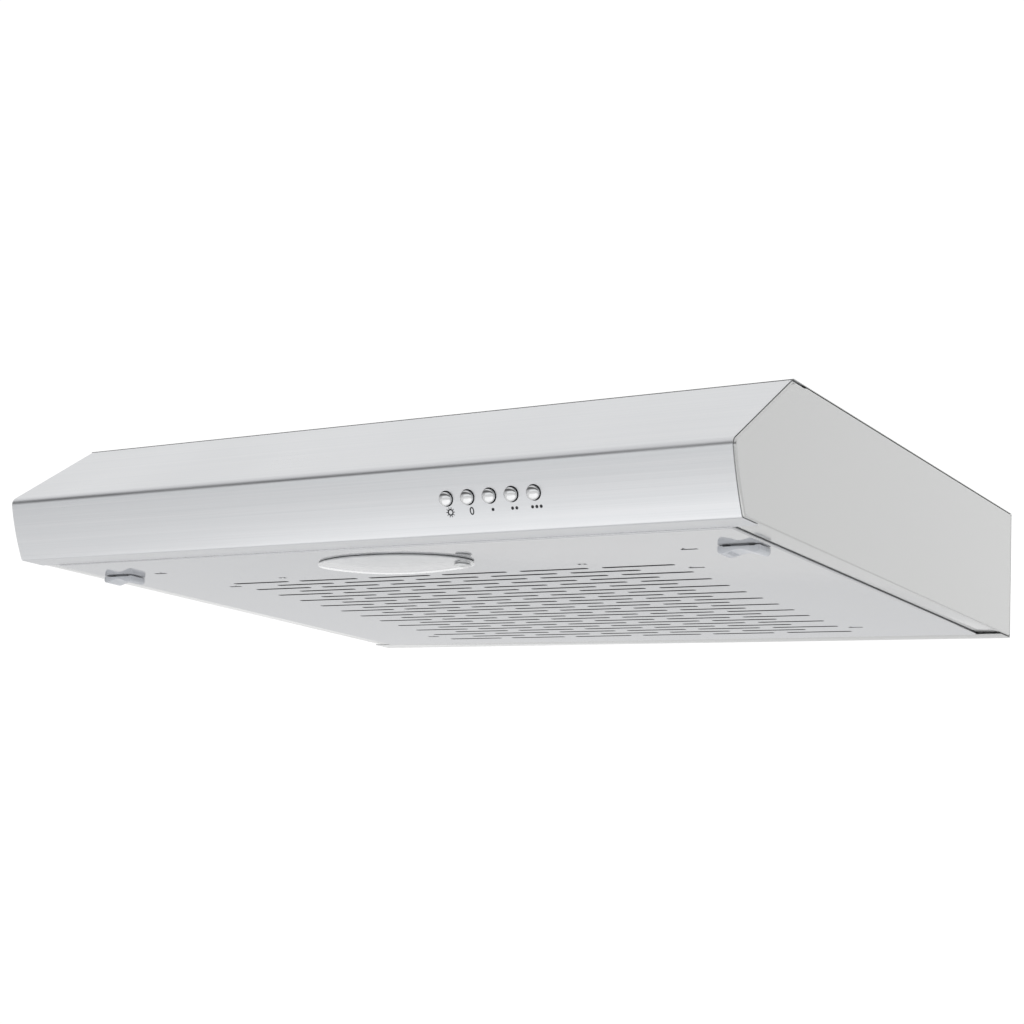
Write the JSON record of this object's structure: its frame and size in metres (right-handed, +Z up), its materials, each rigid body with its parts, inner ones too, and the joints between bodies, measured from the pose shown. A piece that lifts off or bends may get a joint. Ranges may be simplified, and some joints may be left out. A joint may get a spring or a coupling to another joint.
{
  "type": "under cabinet range hood",
  "caption": "Under cabinet range hood with a slanted convex front, push buttons, a hinged slotted filter panel, an oval lamp cover, a blower and a duct collar with damper flaps.",
  "frame": {"origin": "centre of the flat top face, midway between the ends and midway from the top's front edge to its back edge", "axes": "+X along the hood towards the right-hand end seen from the front, +Y to the wall at the back, +Z up; the front faces -Y"},
  "size_m": [0.6, 0.4687, 0.1363],
  "materials": {
    "front_steel": "satin, brushed along the length",
    "body_steel": "silver grey, matt",
    "panel_steel": "silver grey, semi-gloss",
    "galvanised": "galvanised, dull",
    "dark_steel": "black, satin",
    "bright_steel": "zinc plated",
    "chrome": "polished",
    "black_plastic": "moulded, matt",
    "white_plastic": "moulded",
    "silver_plastic": "silver grey, satin",
    "lamp_plastic": "white, translucent",
    "lamp_glass": "frosted",
    "filter_felt": "charcoal fibre mat",
    "lead_sleeve": "grey sleeve",
    "rubber": "black, matt"
  },
  "bodies": {
    "hood": {"back_panel": "body_steel", "blower_outlet_plate": "galvanised", "blower_scroll": "galvanised", "blower_side_left": "galvanised", "blower_side_right": "galvanised", "bulb_base": "bright_steel", "bulb_glass": "lamp_glass", "cable_grommet": "rubber", "capacitor": "white_plastic", "capacitor_clip": "galvanised", "collar_ring": "galvanised", "collar_screw_1": "dark_steel", "collar_screw_2": "dark_steel", "collar_screw_3": "dark_steel", "collar_screw_4": "dark_steel", "damper_pin": "dark_steel", "front_wrap": "front_steel", "lamp_bracket": "galvanised", "lamp_holder": "white_plastic", "lamp_lead": "lead_sleeve", "motor_body": "dark_steel", "motor_bracket": "galvanised", "motor_lead": "lead_sleeve", "motor_nut_1": "bright_steel", "motor_nut_2": "bright_steel", "outlet_collar": "black_plastic", "panel_pivot_left": "galvanised", "panel_pivot_right": "galvanised", "side_panel_left": "body_steel", "side_panel_right": "body_steel", "switch_block": "black_plastic", "switch_bracket": "galvanised", "switch_lead": "lead_sleeve", "terminal_box": "black_plastic", "terminal_box_lid": "black_plastic", "top_panel": "body_steel"},
    "damper_front": {"damper_flap_front": "black_plastic"},
    "damper_rear": {"damper_flap_rear": "black_plastic"},
    "fan": {"impeller": "black_plastic", "motor_shaft": "bright_steel"},
    "panel": {"filter_panel": "panel_steel", "grease_filter": "filter_felt", "filter_wire_left": "bright_steel", "filter_wire_right": "bright_steel", "latch_guide_left": "silver_plastic", "latch_guide_right": "silver_plastic", "latch_spring_left": "bright_steel", "latch_spring_right": "bright_steel"},
    "latch_left": {"filter_latch_left": "silver_plastic"},
    "latch_right": {"filter_latch_right": "silver_plastic"},
    "cover": {"lamp_cover": "lamp_plastic"},
    "knob": {"lamp_knob": "chrome"},
    "light": {"light_button": "chrome"},
    "off": {"off_button": "chrome"},
    "speed_1": {"speed_1_button": "chrome"},
    "speed_2": {"speed_2_button": "chrome"},
    "speed_3": {"speed_3_button": "chrome"}
  },
  "joints": [
    {"name": "damper_front_swing", "type": "hinge", "parent": "hood", "child": "damper_front", "pos_m": [0, 0.095, 0.016], "axis": [-1, 0, 0], "range_deg": [0, 72]},
    {"name": "damper_rear_swing", "type": "hinge", "parent": "hood", "child": "damper_rear", "pos_m": [0, 0.095, 0.016], "axis": [1, 0, 0], "range_deg": [0, 72]},
    {"name": "fan_spin", "type": "hinge", "parent": "hood", "child": "fan", "pos_m": [0, 0.07, -0.045], "axis": [1, 0, 0], "continuous": true},
    {"name": "panel_swing", "type": "hinge", "parent": "hood", "child": "panel", "pos_m": [0, 0.17, -0.092], "axis": [1, 0, 0], "range_deg": [0, 85]},
    {"name": "latch_left_slide", "type": "slide", "parent": "panel", "child": "latch_left", "axis": [1, 0, 0], "range_m": [0, 0.006], "stiffness_N_per_m": 400, "springref_m": -0.006, "deforming": ["latch_spring_left"]},
    {"name": "latch_right_slide", "type": "slide", "parent": "panel", "child": "latch_right", "axis": [-1, 0, 0], "range_m": [0, 0.006], "stiffness_N_per_m": 400, "springref_m": -0.006, "deforming": ["latch_spring_right"]},
    {"name": "cover_swing", "type": "hinge", "parent": "panel", "child": "cover", "pos_m": [-0.0632, -0.186, -0.0984], "axis": [0, 1, 0], "range_deg": [0, 35]},
    {"name": "knob_turn", "type": "hinge", "parent": "cover", "child": "knob", "pos_m": [0.0575, -0.186, -0.1], "axis": [0, 0, 1], "continuous": true},
    {"name": "light_press", "type": "slide", "parent": "hood", "child": "light", "axis": [0, 0.9309, 0.3653], "range_m": [0, 0.003], "stiffness_N_per_m": 500, "springref_m": -0.002},
    {"name": "off_press", "type": "slide", "parent": "hood", "child": "off", "axis": [0, 0.9309, 0.3653], "range_m": [0, 0.003], "stiffness_N_per_m": 500, "springref_m": -0.002},
    {"name": "speed_1_press", "type": "slide", "parent": "hood", "child": "speed_1", "axis": [0, 0.9309, 0.3653], "range_m": [0, 0.003], "stiffness_N_per_m": 500, "springref_m": -0.002},
    {"name": "speed_2_press", "type": "slide", "parent": "hood", "child": "speed_2", "axis": [0, 0.9309, 0.3653], "range_m": [0, 0.003], "stiffness_N_per_m": 500, "springref_m": -0.002},
    {"name": "speed_3_press", "type": "slide", "parent": "hood", "child": "speed_3", "axis": [0, 0.9309, 0.3653], "range_m": [0, 0.003], "stiffness_N_per_m": 500, "springref_m": -0.002}
  ]
}
